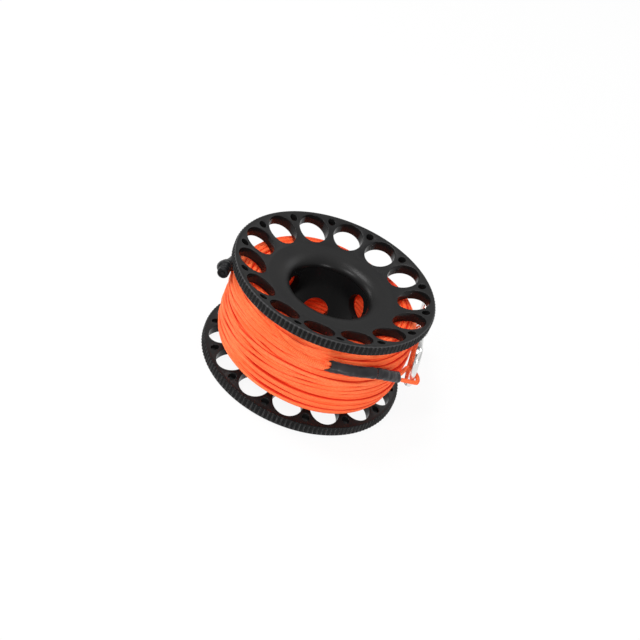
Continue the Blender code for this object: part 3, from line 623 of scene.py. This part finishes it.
def declareTail(piece, points, held):
    # the free end of the line carries the sleeves and the snap; this prints its length
    length = sum(legs(points)) * mm
    points[0] * mm
    [tuple(point * mm) for point in points]
    print("tail declared,", round(length, 4), "m of line")


tailPiece, tailPoints = makeTail()
print("tail made")

# Heat-shrink sleeves: two lengths over the doubled line, the left one's mouth split

sleeves = {
    "radius": 1.45,  # outside, round each strand
    "wall": 0.4,
    "flare": 0.2,
    "neck": 0.16,
    "steps": 56,
    "sides": 28,
    "meet": 0.571,  # share of the line where the two meet
    "gap": 0.3,
    "ripple": 0.15,
    "fork": 1.7,  # how far the split reaches along the lower strand
}


def sleevePiece(name, node, frames, seed):
    draw = random.Random(seed)
    waves = [(draw.uniform(0.5, 2.4), draw.uniform(0, math.tau), draw.uniform(0.3, 1)) for _ in range(6)]
    count = len(frames)

    def section(k, angle, inner):
        middle, run, across = frames[k]
        if k == 0 and name == "sleeveLong":
            fork = sleeves["fork"] * max(0, math.cos(angle))
            middle = middle - run * (fork - 0.8 * abs(math.sin(angle)) ** 3)
        ends = min(k, count - 1 - k)
        radius = sleeves["radius"] - (sleeves["wall"] if inner else 0)
        if not inner:
            radius -= sleeves["neck"] if ends == 0 else 0
            radius += sleeves["flare"] * math.exp(-((ends - 1.5) / 1.1) ** 2) * 0.5
            wave = sum(size * math.sin(rate * k + phase + 2 * angle * (j % 3))
                       for j, (rate, phase, size) in enumerate(waves))
            radius += sleeves["ripple"] * wave / 2 if ends > 0 else 0
        pull = tail["apart"] * math.tanh(3.2 * math.cos(angle)) / math.tanh(3.2)
        out = across * (radius * math.cos(angle) + pull)
        return middle + out + run.cross(across) * radius * math.sin(angle)

    bm = bmesh.new()
    edges = circleEdges(bm, sleeves["sides"], 1)
    angles = {point: math.atan2(point.co.y, point.co.x) for point in bm.verts}
    for point, angle in angles.items():
        point.co = section(0, angle, False)
    order = [(k, False) for k in range(1, count)] + [(k, True) for k in range(count - 1, -1, -1)]
    for k, inner in order:
        fresh, edges = growEdges(bm, edges)
        angles = {point: next(angles[edge.other_vert(point)] for edge in point.link_edges
                              if edge.other_vert(point) in angles) for point in fresh}
        for point, angle in angles.items():
            point.co = section(k, angle, inner)
    mouth = [edge for edge in bm.edges if edge.is_boundary and edge not in edges]
    bmesh.ops.bridge_loops(bm, edges=edges + mouth)
    return addPiece(name, finishMesh(name, bm, 50), blackSleeve, [node])


def makeSleeves():
    frames = doubledFrames(sleeves["steps"])
    meet = round(sleeves["steps"] * sleeves["meet"])
    longPiece = sleevePiece("sleeveLong", "sleeve_long", frames[:meet + 1], 3)
    middle, run, across = frames[meet]
    frames[meet] = (middle + sleeves["gap"] * run, run, across)
    return [longPiece, sleevePiece("sleeveShort", "sleeve_short", frames[meet:], 8)]


sleevePieces = makeSleeves()
print("sleeves made")

# Keeper: a short black cord under the upper flange, with a round cap on its end

keeper = {
    "radius": 2.75,
    "route": ((-153.8, 46.8, 41.1), (-157.2, 45.5, 40.2), (-160.2, 44.1, 39.2), (-165.0, 42.7, 38.4),
              (-172.5, 41.6, 38.0)),
    "neck": (0.62, 0.62, 0.82, 0.94),  # shares of the radius, from inside the cap
    "end": (0.97, 0.86, 0.55),
    "cap": (-145.7, 48.0, 42.5),  # middle of its face
    "heading": -80,
    "capRadius": 2.45,
    "capLength": 3.8,
    "socket": (0.65, 1.5),  # wall round the cord, and depth
    "capRounds": (0.5, 0.7),  # at the cord and at the face
    "ring": (1.5, 0.2, 0.12),  # place, half width and depth of a groove
}


def makeKeeper():
    turn = Matrix.Rotation(math.radians(keeper["heading"]), 3, "Z")
    back = onSpool(*keeper["cap"]) - keeper["capLength"] * turn.col[0]
    wall, deep = keeper["socket"]
    route = [back + deep * turn.col[0], back - 1.4 * turn.col[0]]
    points = alongRoute(route + [onSpool(*place) for place in keeper["route"]], 0.9)
    radii = [1 + 0.02 * math.sin(2.1 * k) for k in range(len(points))]
    radii[:4] = keeper["neck"]
    radii[-3:] = keeper["end"]
    mesh = strandMesh("keeperCord", points, (keeper["radius"],) * 2, radii, sides=20)
    addPiece("keeperCord", mesh, blackRubber, ["keeper_cord"])
    cap, end = keeper["capRadius"], keeper["capLength"]
    near, far = keeper["capRounds"]
    ring, half, sunk = keeper["ring"]
    outline = [(0, deep), (cap - wall, deep), (cap - wall, 0)] + quarter((cap - near, 0), (cap, near), 4)
    outline += [(cap, ring - half), (cap - sunk, ring), (cap, ring + half)]
    outline += quarter((cap, end - far), (cap - far, end), 5, outFirst=False)
    outline += [(cap - 0.95, end - 0.05), (cap - 1.15, end - 0.5)]  # recess and button
    outline += [(0.9, end - 0.6), (0.7, end - 0.25), (0, end - 0.2)]
    place = Matrix.Translation(back) @ turn.to_4x4() @ alongX
    mesh = spun("keeperCap", outline, 40, place=place, closed=False)
    addPiece("keeperCap", mesh, blackRubber, ["keeper_cap"])


makeKeeper()
print("keeper made")

# Winding: turns side by side over the whole package, under tilted bundles that cross

winding = {
    "pitch": 1.95,  # between turns that lie side by side
    "pointsPerTurn": 84,
    "radius": 0.97,
    "hubRadius": 22.2,
    "hubHalf": 13.0,
    "middleRadius": 41.3,  # of the outermost turns, at the spool's middle
    "upper": (16.5, 36.6, 4),  # half width, radius there, and power of the rounding
    "lower": (16.9, 37.2, 4),
    "slump": (1.5, 2.8, 3),  # what the lower end gains where the line has slumped
    "slumpAngle": -83,
    "dips": ((1.7, 1.1, 75, 32), (-2.0, -0.5, -151, 22)),  # radius and height lost, angle, spread
    "under": 1.55,  # how far the side turns lie under the outermost ones
    "face": ((24.6, 13.7), (28.0, 13.75), (31.0, 14.75), (34.2, 15.95)),  # radius, height
    "barrel": (15.9, -16.6),  # heights between the faces
    "oval": (0.88, 1.07),  # half thickness and half width of a flattened turn
    "square": 0.95,  # below 1, a flatter face
    "rise": (1.0, 3.2),  # over a turn that is crossed, and in all
    "settle": 0.75,  # share of the rise that is kept
    "bundles": 13,
    "turnsInBundle": (2, 6),
    "step": (2.2, 3.1),  # between turns of a crossing bundle
    "tilt": (1.4, 5.2),
    "leftHigh": 150,  # degrees, where most bundles lie high
    "firstHeight": -15.5,
    "turnBack": (-11, 10),  # heights where the bundles turn back
    "endAngle": -120,
}


def turnAngle(k):
    return winding["endAngle"] + 360 * k / winding["pointsPerTurn"]


def shoulderLoss(angle, height):
    # radius and height that the upper shoulder loses
    loss = Vector((0, 0))
    for radius, drop, middle, spread in winding["dips"]:
        turn = (angle - middle + 180) % 360 - 180
        share = math.exp(-(turn / spread) ** 2) * min(max((height - 5) / 8, 0), 1)
        loss += Vector((radius, drop)) * share
    return loss


def slumpShare(angle):
    return (0.5 + 0.5 * np.cos(np.radians(angle - winding["slumpAngle"]))) ** 1.5


def barrelRadius(height, angle=None):
    half, end, power = winding["upper"] if height > 0 else winding["lower"]
    if height < 0 and angle is not None:
        slump = slumpShare(angle)
        half, end, power = [value + slump * gain
                            for value, gain in zip(winding["lower"], winding["slump"])]
    share = min(abs(height) / half, 1.03)
    return winding["middleRadius"] - (winding["middleRadius"] - end) * share ** power


def packageOutline():
    # (radius, height) of the side turns, from the upper face to the lower one
    barrel = [(barrelRadius(height) - winding["under"], height)
              for height in np.linspace(*winding["barrel"], 60)]
    return [*winding["face"], *barrel, *[(radius, -height) for radius, height in reversed(winding["face"])]]


def sideTurns():
    outline = np.array(packageOutline())
    lengths = np.concatenate([[0], np.cumsum(np.hypot(*np.diff(outline, axis=0).T))])
    turns = int(lengths[-1] / winding["pitch"])
    count = turns * winding["pointsPerTurn"]
    marks = np.random.default_rng(7).normal(0, 0.16, turns * 5 + 1)
    drift = np.interp(np.linspace(0, turns * 5, count), np.arange(turns * 5 + 1), marks)
    places = np.clip(np.linspace(0, lengths[-1], count) + drift, 0, lengths[-1])
    radii = np.interp(places, lengths, outline[:, 0])
    heights = np.interp(places, lengths, outline[:, 1])
    points = []
    for k in range(count):
        angle = turnAngle(k)
        loss = shoulderLoss(angle, heights[k]) * min(max((radii[k] - 27) / 6, 0), 1)
        points.append(onSpool(angle, radii[k] - loss.x, heights[k] - max(loss.y, 0) + spoolMiddle))
    return points


def hubTurns():
    half, per = winding["hubHalf"], winding["pointsPerTurn"] // 2
    count = int(2 * half / winding["pitch"]) * per
    low = spoolMiddle - half
    return [onSpool(360 * k / per, winding["hubRadius"], low + 2 * half * k / (count - 1))
            for k in range(count)]


def smoothed(values, reach):
    kernel = np.hanning(2 * reach + 1)
    return np.convolve(np.pad(values, reach, "edge"), kernel / kernel.sum(), "valid")


def bundleHeights():
    # heights of the crossing turns, one tilted bundle after another
    per = winding["pointsPerTurn"]
    lowest, highest = winding["turnBack"]
    draw = np.random.default_rng(21)
    heights = []
    level, way = winding["firstHeight"], 1
    for bundle in range(winding["bundles"]):
        turns = draw.integers(*winding["turnsInBundle"])
        tilt = draw.uniform(*winding["tilt"])
        phase = math.radians(winding["leftHigh"]) + draw.normal(0, 0.55)
        phase += math.pi if bundle % 4 == 3 else 0  # every fourth bundle leans the other way
        step = draw.uniform(*winding["step"])
        for k in range(turns * per):
            turn = math.tau * k / per
            sway = 0.18 * math.sin(2.7 * turn + bundle)
            heights.append(level + tilt * math.sin(turn + phase) + sway)
            level += way * step / per
        if not lowest < level < highest:
            way = -way
    heights = smoothed(np.array(heights), per // 4)
    slump = slumpShare(turnAngle(np.arange(len(heights))))
    low = winding["lower"][0] + slump * winding["slump"][0] - 0.35
    return smoothed(np.clip(heights * 1.06, -low, winding["upper"][0] - 1.1), 11)


def layTurns(heights):
    # the pile under each point of the crossing turns
    per, width, (rise, most) = winding["pointsPerTurn"], 2 * winding["oval"][1] * 0.9, winding["rise"]
    pile = np.zeros(len(heights))
    for k in range(len(heights)):
        before = np.arange(k % per, k - per // 2, per)
        if len(before):
            apart = np.abs(heights[before] - heights[k]) / width
            over = np.where(apart < 1, pile[before] + rise * np.sqrt(np.maximum(1 - apart ** 2, 0)), 0)
            pile[k] = min(max(0, over.max()), most)
    return smoothed(pile, 4)


def crossingTurns():
    heights = bundleHeights()
    pile = layTurns(heights)
    spread = np.percentile(pile, 97)
    under, settle = winding["under"], winding["settle"]
    points = []
    for k, height in enumerate(heights):
        angle = turnAngle(k)
        lift = (pile[k] / spread) * under * settle
        reach = barrelRadius(height, angle) - under * settle + min(lift, under)
        loss = shoulderLoss(angle, height)
        points.append(onSpool(angle, reach - loss.x, height - loss.y + spoolMiddle))
    return points


def bulkMesh():
    # the filling under the turns, 1 mm inside their middles
    hub, innermost = winding["hubRadius"] + 0.3, winding["face"][0][0]
    outline = [(radius - (1 if radius > innermost else 0), height * (1 - 1 / 17))
               for radius, height in packageOutline()]
    place = Matrix.Translation((0, 0, spoolMiddle))
    return spun("lineBulk", [(hub, 12.6)] + outline + [(hub, -12.6)], 72, place=place)


def addWinding(name, mesh, paint, nodes):
    addPiece(name, mesh, paint, nodes)


def makeWinding():
    round_ = (winding["radius"],) * 2
    addWinding("lineHubTurns", strandMesh("lineHubTurns", hubTurns(), round_, sides=8), innerLine, [])
    addWinding("lineSideTurns", strandMesh("lineSideTurns", sideTurns(), round_), sideLine, [])
    points = crossingTurns()
    mesh = strandMesh("lineCrossingTurns", points, winding["oval"], sides=12, twist="Z_UP",
                      square=winding["square"])
    addWinding("lineCrossingTurns", mesh, woundLine, ["line_outer_turns"])
    addWinding("lineBulk", bulkMesh(), innerLine, ["line_core"])
    return len(points) / winding["pointsPerTurn"]


print("winding made,", round(makeWinding()), "crossing turns")

# Flanges: a dished web with rounded holes between a grooved rim and a bell mouth

flange = {
    "radius": 45.0,
    "wall": 4.7,
    "landOuter": 44.4,
    "landInner": 43.3,
    "webOuter": 43.12,
    "webInner": 28.7,
    "dishDepth": 5.5,
    "dishFloor": 28.0,
    "floorRound": 0.7,
    "grooves": 140,
    "grooveDepth": 0.55,
    "pointsPerGroove": 6,
    "rimEdge": ((0.22, 0.42, 0.5), (0.05, 0.62, 1), (0, 0.95, 1)),  # in, down, share of the groove
    "largeHoles": (14, 6.7, 36.0, 40),  # count, radius, pitch radius, sides
    "smallHoles": (14, 1.65, 40.95, 20),
    "edge": 0.22,  # rounding of every hole's edge
    "bell": (25.2, 4.45),  # radius where it starts, and depth
    "bore": 17.8,
    "socket": ((20.8, -4.5), (20.8, -6.7), (22.8, -6.7), (23.0, -6.5)),  # seat of the hub tube
    "hubSides": 112,
}


def dishFall(radius):
    # how far the dished face lies under the rim
    inner, outer, depth = flange["dishFloor"], flange["landInner"], flange["dishDepth"]
    slope = depth / (outer - inner)
    fall = slope * (outer - radius)
    round_ = flange["floorRound"] * slope
    if fall > depth - round_:
        over = min((fall - depth + round_) / (2 * round_), 1)
        return depth - round_ * (1 - over) ** 2
    return max(fall, 0)


def rimMove(radius, height, depth):
    # a point of the rim, sunk between the crests of the grooves
    def move(point):
        turn = math.atan2(point.y, point.x)
        sunk = 0.5 - 0.5 * math.cos(turn * flange["grooves"])
        reach = radius - depth * min(1, 1.25 * sunk)
        return Vector((reach * math.cos(turn), reach * math.sin(turn), height))
    return move


def rimOutline():
    # (radius, height, groove depth) from the upper land to the lower one
    wall, outer, land = flange["wall"], flange["radius"], flange["landOuter"]
    side = [(flange["landInner"] + 0.15, 0, 0), (land - 0.15, 0, 0), (land, -0.04, 0)]
    side += [(outer - inward, -down, flange["grooveDepth"] * share)
             for inward, down, share in flange["rimEdge"]]
    middle = (outer, -wall / 2, flange["grooveDepth"])
    return side + [middle] + [(reach, -wall - height, depth) for reach, height, depth in reversed(side)]


def hubOutline():
    # (radius, height) over the bell mouth, down the bore and round the seat
    (bellRadius, bellDepth), bore = flange["bell"], flange["bore"]
    outline = [(radius, 0) for radius in (28.35, 28.0, 27.65, 27.3, 26.4, bellRadius + 0.3)]
    outline += quarter((bellRadius, 0), (bore, -bellDepth), 18)[1:]
    outline += [(bore, flange["socket"][0][1]), *flange["socket"]]
    return outline + [(radius, -flange["wall"]) for radius in (23.0, 27.3, 28.0)]


def flangeMesh(name):
    wall, edge = flange["wall"], flange["edge"]
    bm = bmesh.new()
    rim = circleEdges(bm, flange["grooves"] * flange["pointsPerGroove"], flange["webOuter"])
    floor = circleEdges(bm, flange["hubSides"], flange["webInner"])
    holes = []
    for kind, offset in (("largeHoles", 0), ("smallHoles", 0.5)):
        count, radius, pitch, sides = flange[kind]
        for k in range(count):
            centre = onSpool(360 * (k + offset) / count, pitch, 0)
            holes.append((circleEdges(bm, sides, radius + edge, centre), centre, radius))
    bmesh.ops.triangle_fill(bm, use_beauty=True, edges=bm.edges[:], normal=(0, 0, 1))
    copied = bmesh.ops.duplicate(bm, geom=bm.verts[:] + bm.edges[:] + bm.faces[:])["geom"]
    under = [item for item in copied if isinstance(item, bmesh.types.BMVert)]
    bmesh.ops.translate(bm, vec=(0, 0, -wall), verts=under)
    for edges, centre, radius in holes:
        rounded = quarter((radius + edge, 0), (radius, -edge), 3)[1:]
        for reach, height in rounded + [(reach, -wall - height) for reach, height in reversed(rounded)]:
            edges = growLoop(bm, edges, toRadius(centre, reach, height))
        growLoop(bm, edges, toRadius(centre, radius + edge, -wall))
    for reach, height, depth in rimOutline():
        rim = growLoop(bm, rim, rimMove(reach, height, depth))
    growLoop(bm, rim, toRadius((0, 0), flange["webOuter"], -wall))
    for reach, height in hubOutline():
        floor = growLoop(bm, floor, toRadius((0, 0), reach, height))
    growLoop(bm, floor, toRadius((0, 0), flange["webInner"], -wall))
    for point in bm.verts:
        point.co.z -= dishFall(point.co.xy.length)
    bmesh.ops.remove_doubles(bm, verts=bm.verts, dist=0.002)
    if name == "flangeUpper":
        bmesh.ops.translate(bm, vec=(0, 0, spoolWidth), verts=bm.verts)
    else:
        bmesh.ops.rotate(bm, matrix=Matrix.Rotation(math.pi, 3, "X"), verts=bm.verts)
    return finishMesh(name, bm, 38)


for name, node in (("flangeUpper", "flange_upper"), ("flangeLower", "flange_lower")):
    addPiece(name, flangeMesh(name), blackMetal, [node])
print("flanges made")

# Hub tube with its two staggered rows of holes

hubTube = {
    "inner": 17.8,
    "outer": 20.5,
    "half": 14.95,
    "edge": 0.15,
    "holeRadius": 5.75,
    "rowOffset": 6.7,
    "firstHole": 50,
    "holes": 6,
}


def makeHub():
    inner, outer, half, edge = hubTube["inner"], hubTube["outer"], hubTube["half"], hubTube["edge"]
    outline = [(inner, -half), (outer - edge, -half), (outer, -half + edge),
               (outer, half - edge), (outer - edge, half), (inner, half)]
    drills = []
    for k in range(hubTube["holes"]):
        angle = hubTube["firstHole"] + 360 * k / hubTube["holes"]
        height = spoolMiddle + hubTube["rowOffset"] * (1 - 2 * (k % 2))
        turn = Matrix.Rotation(math.radians(angle), 4, "Z") @ alongX
        drill = bmesh.new()
        bmesh.ops.create_cone(drill, cap_ends=True, segments=48, radius1=hubTube["holeRadius"],
                              radius2=hubTube["holeRadius"], depth=8,
                              matrix=Matrix.Translation(onSpool(angle, 19, height)) @ turn)
        drills.append(("DIFFERENCE", finishMesh("hubDrill", drill)))
    blank = spun("hubBlank", outline, 144, 35, Matrix.Translation((0, 0, spoolMiddle)))
    mesh = withCuts("hubTube", blank, drills)
    addPiece("hubTube", mesh, shadedBoreMetal, ["hub_tube"])


makeHub()
print("hub made")

# Bolt snap, in its own frame: x along the bolt from hook to eye, z up the hook

snap = {
    "rod": 1.9,  # radius of the hook
    "tip": 6.0,
    "hookDrop": 15.0,
    "corner": 4.2,
    "rootAngle": 60,
    "barrelStart": 26.0,
    "barrelEnd": 46.0,
    "barrelRadius": 3.1,
    "barrelRound": 0.7,
    "ring": (2.25, 0.25, 0.18),  # place, half width and depth of a groove
    "bore": 1.9,
    "backWall": 1.8,
    "bolt": 1.6,  # radius
    "boltEdge": 0.3,
    "boltTail": 1.5,  # past the stud
    "stud": 4.0,  # from the barrel's front
    "travel": 6.5,
    "studNeck": 0.8,
    "studHead": 2.1,
    "play": 0.3,  # between pieces that move
    "swivelHole": 1.3,
    "swivelGap": 0.8,
    "eyeRing": 6.12,
    "eyeWire": 1.6,
    "spring": (32.0, 42.2),  # along the bolt, from its tail to the swivel's head
    "springWire": 0.2,
    "springRadius": 1.4,
    "springTurns": 7,
}
studPlace = snap["barrelStart"] + snap["stud"]
snapPlace = Matrix.Translation(rodPoint) @ snapTurn.to_4x4() @ Matrix.Translation((0, 0, snapFrame["drop"]))


def addSteel(name, mesh, body, node):
    return addPiece(name, mesh, steel, [node], body)


def toSnapPlace(mesh):
    # a mesh in metres, from the snap's own frame to its place on the loop
    for matrix in (Matrix.Scale(1000, 4), snapPlace, Matrix.Scale(mm, 4)):
        mesh.transform(matrix)
    return mesh


def arcPoints(centre, radius, start, end, steps):
    turns = [math.radians(start + (end - start) * k / steps) for k in range(steps + 1)]
    return [Vector((centre[0] + radius * math.cos(turn), 0, centre[1] + radius * math.sin(turn)))
            for turn in turns]


def hookMesh():
    corner, drop, front = snap["corner"], snap["hookDrop"], snap["barrelStart"]
    root = front - 6
    path = [Vector((snap["tip"] - 0.01, 0, 0))]
    path += arcPoints((corner, -corner), corner, 90, 180, 12)
    path += arcPoints((corner, corner - drop), corner, 180, 270, 12)
    path += arcPoints((root - corner, corner - drop), corner, 270, 270 + snap["rootAngle"], 10)
    path += [Vector((front + snap["rod"], 0, -snap["rod"] / 2))]
    return strandMesh("snapHook", path, (snap["rod"],) * 2, sides=24)


def barrelMesh():
    front, end, radius = snap["barrelStart"], snap["barrelEnd"], snap["barrelRadius"]
    edge, back, (ring, half, sunk) = snap["barrelRound"], end - snap["backWall"], snap["ring"]
    outline = [(snap["bore"], front)] + quarter((radius - edge, front), (radius, front + edge), 5)
    outline += [(radius, front + ring - half), (radius - sunk, front + ring), (radius, front + ring + half)]
    outline += quarter((radius, end - edge), (radius - edge, end), 5, outFirst=False)
    outline += [(snap["swivelHole"], end), (snap["swivelHole"], back), (snap["bore"], back)]
    return spun("snapBarrel", outline, 40, place=alongX)


def slotMesh():
    slot = bmesh.new()
    half = snap["studNeck"] + snap["play"]
    middle = Matrix.Translation((studPlace + snap["travel"] / 2, 0, 2.6))
    bmesh.ops.create_cube(
        slot, size=1, matrix=middle @ Matrix.Diagonal((snap["travel"] + 2 * half, 2 * half, 5.2, 1)))
    uprights = [edge for edge in slot.edges if abs(edge.verts[0].co.z - edge.verts[1].co.z) > 1]
    bmesh.ops.bevel(slot, geom=uprights, offset=half * 0.98, segments=6, profile=0.5, affect="EDGES",
                    material=-1)
    return finishMesh("studSlot", slot)


def makeBody():
    mesh = withCuts("snapBodySteel", barrelMesh(), [("UNION", hookMesh()), ("DIFFERENCE", slotMesh())], 40)
    return addSteel("snapBodySteel", toSnapPlace(mesh), "snap", "snap_body")


def makeBolt():
    tip, end = snap["tip"] + snap["play"], studPlace + snap["boltTail"]
    radius, edge = snap["bolt"], snap["boltEdge"]
    outline = [(0, tip)] + quarter((radius - edge, tip), (radius, tip + edge), 4) + [(radius, end), (0, end)]
    mesh = spun("snapBoltPin", outline, 32, place=snapPlace @ alongX, closed=False)
    return addSteel("snapBoltPin", mesh, "bolt", "snap_bolt")


def makeStud():
    neck, head, rise = snap["studNeck"], snap["studHead"], snap["barrelRadius"] + 0.5
    outline = [(0, 0.9), (neck, 0.9), (neck, rise)] + quarter((head - 0.3, rise), (head, rise + 0.3), 3)
    outline += quarter((head, rise + 0.7), (head - 0.8, rise + 1.5), 4, outFirst=False)
    outline += [(head - 1.1, rise + 1.38), (0, rise + 1.3)]  # the thumb's hollow
    place = snapPlace @ Matrix.Translation((studPlace, 0, 0))
    mesh = spun("snapThumbStud", outline, 32, place=place, closed=False)
    return addSteel("snapThumbStud", mesh, "bolt", "snap_stud")


def makeEye():
    end, ring, wire = snap["barrelEnd"], snap["eyeRing"], snap["eyeWire"]
    middle = end + snap["swivelGap"] + wire + ring
    neck, inside = snap["swivelHole"] - snap["play"], end - snap["backWall"] - snap["play"]
    shank = [(0, inside - 1.2), (1.6, inside - 1.2), (1.6, inside), (neck, inside), (neck, end + 0.35)]
    shank += [(neck + 0.25, end + 0.8), (neck + 0.5, middle - ring), (0, middle - ring)]
    turns = [math.tau * k / 20 for k in range(20)]
    outline = [(ring + wire * math.cos(turn), wire * math.sin(turn)) for turn in turns]
    upright = Matrix.Translation((middle, 0, 0)) @ Matrix.Rotation(math.pi / 2, 4, "X")
    mesh = withCuts("snapEyeRing", spun("eyeRing", outline, 64, place=upright),
                    [("UNION", spun("eyeShank", shank, 24, place=alongX, closed=False))], 40)
    return addSteel("snapEyeRing", toSnapPlace(mesh), "eye", "snap_eye")


def makeSpring():
    (front, back), wire = snap["spring"], snap["springWire"]
    count = snap["springTurns"] * 20
    coil = [onSpool(18 * k, snap["springRadius"], front + (back - front) * k / count)
            for k in range(count + 1)]
    coil = [snapPlace @ alongX @ point for point in coil]
    mesh = strandMesh("snapCoilSpring", coil, (wire, wire), sides=8)
    spring = addSteel("snapCoilSpring", mesh, "snap", "snap_spring")
    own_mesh(spring)
    return spring


snapPieces = [makeBody(), makeBolt(), makeStud(), makeEye(), makeSpring()]
print("snap made")
declareTail(tailPiece, tailPoints, sleevePieces + snapPieces)

# Floor, light and background

studio = {
    "world": 0.42,
    "keyLamp": (2.8, (-0.22, -0.55, 0.66), 0.20),  # watts, place and size in metres
    "topLamp": (4.2, (-0.33, 0.03, 0.84), 0.27),
    "sideLamp": (1.4, (-0.80, 0.06, 0.42), 0.26),
    "frontLamp": (1.9, (0.58, -0.60, 0.30), 0.26),
    "backLamp": (0.9, (0.30, 0.60, 0.50), 0.45),
    "floorColour": 0.86,
    "floorGlow": 0.92,
    "walls": [(0.0, 0.85), (0.50, 0.80), (0.57, 0.42), (0.72, 0.62), (0.88, 1.0)],  # mirrored, by height
}


def addLamp(name):
    watts, place, size = studio[name]
    lamp = bpy.data.lights.new(name, "AREA")
    lamp.energy, lamp.size, lamp.shape = watts, size, "DISK"
    holder = addObject(name, lamp)
    holder.location = place
    aim = Vector((0, 0, 0.025)) - Vector(place)
    holder.rotation_euler = aim.to_track_quat("-Z", "Y").to_euler()


def makeFloor():
    bm = bmesh.new()
    bmesh.ops.create_grid(bm, x_segments=8, y_segments=8, size=4)
    bmesh.ops.translate(bm, vec=(0, 0, -0.00005), verts=bm.verts)
    mesh = bpy.data.meshes.new("studioFloor")
    bm.to_mesh(mesh)
    bm.free()
    addObject("studioFloor", mesh)
    paint = Paint("floorPaper", {"Roughness": 0.9})
    level = studio["floorColour"]
    cloud = paint.noise(paint.place(), 3)
    paint.feed("Base Color", paint.ramp(cloud, [(0.3, grey(level - 0.01)), (0.7, grey(level + 0.01))]))
    seen = paint.ray("Is Camera Ray") + paint.ray("Is Glossy Ray") + paint.ray("Is Transmission Ray")
    glow = paint.node("ShaderNodeEmission", inputs={"Color": grey(1), "Strength": 1.0})
    lit = Wire(paint, paint.shader.outputs[0])
    paint.surface(paint.blendShaders(seen * studio["floorGlow"], lit, glow), "Material Output")
    mesh.materials.append(paint.material)


def makeWorld():
    # even light, white to the camera, and a horizon for polished metal
    world = bpy.data.worlds.new("studioWorld")
    bpy.context.scene.world = world
    world.use_nodes = True
    sky = Nodes(world.node_tree)
    soft = sky.tree.nodes["Background"]
    soft.inputs["Color"].default_value, soft.inputs["Strength"].default_value = grey(1), studio["world"]
    height = sky.spread(sky.parts(sky.place("Generated"))[2], -1, 1, 0, 1)
    walls = sky.ramp(height, [(place, grey(level)) for place, level in studio["walls"]])
    last = Wire(sky, soft.outputs[0])
    for kind in ("Is Glossy Ray", "Is Camera Ray", "Is Transmission Ray"):
        colour = walls if kind == "Is Glossy Ray" else grey(1)
        plain = sky.node("ShaderNodeBackground", inputs={"Color": colour, "Strength": 1.0})
        last = sky.blendShaders(sky.ray(kind), last, plain)
    sky.surface(last, "World Output")


for name in [key for key in studio if key.endswith("Lamp")]:
    addLamp(name)
makeFloor()
makeWorld()
bpy.context.scene.view_settings.view_transform = "Standard"
print("studio made")
